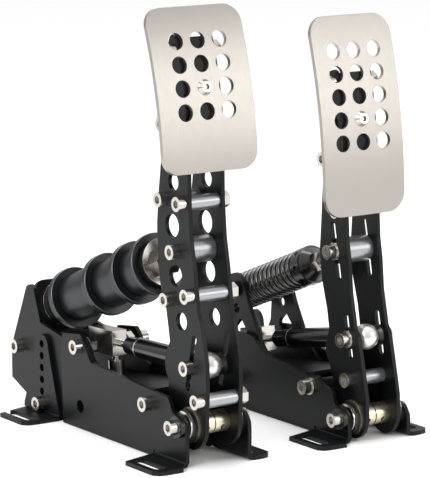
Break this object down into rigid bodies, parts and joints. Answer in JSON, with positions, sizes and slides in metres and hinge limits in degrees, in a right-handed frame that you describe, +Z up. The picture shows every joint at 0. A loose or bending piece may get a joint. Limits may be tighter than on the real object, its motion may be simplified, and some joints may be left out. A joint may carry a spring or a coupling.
{
  "type": "sim racing pedal set",
  "caption": "Brake and throttle pedals of cut and bent black sheet with slotted feet, drilled brushed face plates, a rubber brake stack, a throttle spring and two dampers.",
  "frame": {"origin": "centre of the footprint of the whole set, on the underside of its feet", "axes": "+Z up, +Y away from the driver, +X to the right as the driver sees it"},
  "size_m": [0.222, 0.2444, 0.3031],
  "materials": {
    "black_coat": "satin powder coat",
    "brushed_steel": "vertical brushed",
    "steel": "bright stainless",
    "zinc": "bright zinc plated",
    "bronze": "plain bearing bronze",
    "rubber": "satin",
    "spring": "gloss black",
    "damper_black": "satin black"
  },
  "bodies": {
    "frame": {"brake_side_plate_left": "black_coat", "brake_side_plate_right": "black_coat", "brake_rear_plates": "black_coat", "brake_rear_feet": "black_coat", "brake_deck_plate": "black_coat", "brake_base_bolts": "steel", "brake_base_spacers": "black_coat", "brake_axle_tube": "steel", "brake_thrust_washers": "black_coat", "brake_damper_rod": "steel", "brake_damper_block": "steel", "brake_damper_stud": "steel", "brake_disc_rear": "black_coat", "brake_rubber_rear": "rubber", "brake_load_cell": "black_coat", "brake_seat_plate": "black_coat", "brake_seat_washer": "steel", "brake_seat_bolt": "steel", "throttle_side_plate_left": "black_coat", "throttle_side_plate_right": "black_coat", "throttle_rear_plates": "black_coat", "throttle_rear_feet": "black_coat", "throttle_deck_plate": "black_coat", "throttle_base_bolts": "steel", "throttle_base_spacers": "black_coat", "throttle_axle_tube": "steel", "throttle_thrust_washers": "black_coat", "throttle_damper_rod": "steel", "throttle_damper_block": "steel", "throttle_damper_stud": "steel", "throttle_yoke_bolts": "black_coat"},
    "brake_arm": {"brake_bushings": "bronze", "brake_arm_plate_left": "black_coat", "brake_arm_plate_right": "black_coat", "brake_arm_spacers": "zinc", "brake_arm_bolts": "steel", "brake_face_bracket": "black_coat", "brake_face_plate": "brushed_steel"},
    "throttle_arm": {"throttle_bushings": "bronze", "throttle_arm_plate_left": "black_coat", "throttle_arm_plate_right": "black_coat", "throttle_arm_spacers": "zinc", "throttle_arm_bolts": "steel", "throttle_face_bracket": "black_coat", "throttle_face_plate": "brushed_steel"},
    "brake_rod": {"brake_pivot_hub": "zinc", "brake_stack_rod": "steel", "brake_stack_nut": "steel", "brake_disc_front": "black_coat"},
    "brake_disc_two": {"brake_disc_second": "black_coat", "brake_rubber_front": "rubber"},
    "brake_disc_three": {"brake_disc_third": "black_coat", "brake_rubber_middle": "rubber"},
    "brake_damper": {"brake_damper_body": "damper_black"},
    "throttle_yoke": {"throttle_spring_yoke": "black_coat", "throttle_spring": "spring"},
    "throttle_rod": {"throttle_pivot_hub": "zinc", "throttle_guide_rod": "steel", "throttle_preload_collar": "black_coat"},
    "throttle_damper": {"throttle_damper_body": "damper_black"}
  },
  "joints": [
    {"name": "brake_pedal_hinge", "type": "hinge", "parent": "frame", "child": "brake_arm", "pos_m": [-0.0584, -0.09875, 0.027], "axis": [-1, 0, 0], "range_deg": [0, 6], "stiffness_Nm_per_rad": 60, "springref_deg": -5.73},
    {"name": "throttle_pedal_hinge", "type": "hinge", "parent": "frame", "child": "throttle_arm", "pos_m": [0.0702, -0.10675, 0.016], "axis": [-1, 0, 0], "range_deg": [0, 12], "stiffness_Nm_per_rad": 6, "springref_deg": -14.32},
    {"name": "brake_rod_hinge", "type": "hinge", "parent": "brake_arm", "child": "brake_rod", "pos_m": [-0.0584, -0.08175, 0.1412], "axis": [-1, 0, 0], "range_deg": [-5.4, 0]},
    {"name": "brake_second_disc_slide", "type": "slide", "parent": "brake_rod", "child": "brake_disc_two", "axis": [0, -0.9323, 0.3616], "range_m": [0, 0.0032], "deforming": ["brake_rubber_front"]},
    {"name": "brake_third_disc_slide", "type": "slide", "parent": "brake_rod", "child": "brake_disc_three", "axis": [0, -0.9323, 0.3616], "range_m": [0, 0.0073], "deforming": ["brake_rubber_middle", "brake_rubber_rear"]},
    {"name": "brake_damper_slide", "type": "slide", "parent": "frame", "child": "brake_damper", "axis": [0, 0.9992, -0.0405], "range_m": [0, 0.0044]},
    {"name": "throttle_yoke_hinge", "type": "hinge", "parent": "frame", "child": "throttle_yoke", "pos_m": [0.0702, 0.02425, 0.085], "axis": [-1, 0, 0], "range_deg": [0, 1.6]},
    {"name": "throttle_rod_slide", "type": "slide", "parent": "throttle_yoke", "child": "throttle_rod", "axis": [0, 0.93, -0.3676], "range_m": [0, 0.0245], "deforming": ["throttle_spring"]},
    {"name": "throttle_damper_slide", "type": "slide", "parent": "frame", "child": "throttle_damper", "axis": [0, 0.9825, -0.1864], "range_m": [0, 0.0118]}
  ],
  "couplings": [
    {"joint": "brake_rod_hinge", "follows": "brake_pedal_hinge", "ratio": -0.868},
    {"joint": "brake_second_disc_slide", "follows": "brake_pedal_hinge", "m_per_rad": 0.0287},
    {"joint": "brake_third_disc_slide", "follows": "brake_pedal_hinge", "m_per_rad": 0.0658},
    {"joint": "brake_damper_slide", "follows": "brake_pedal_hinge", "m_per_rad": 0.038287},
    {"joint": "throttle_yoke_hinge", "follows": "throttle_pedal_hinge", "ratio": 0.1195},
    {"joint": "throttle_rod_slide", "follows": "throttle_pedal_hinge", "m_per_rad": 0.11348},
    {"joint": "throttle_damper_slide", "follows": "throttle_pedal_hinge", "m_per_rad": 0.053791}
  ]
}
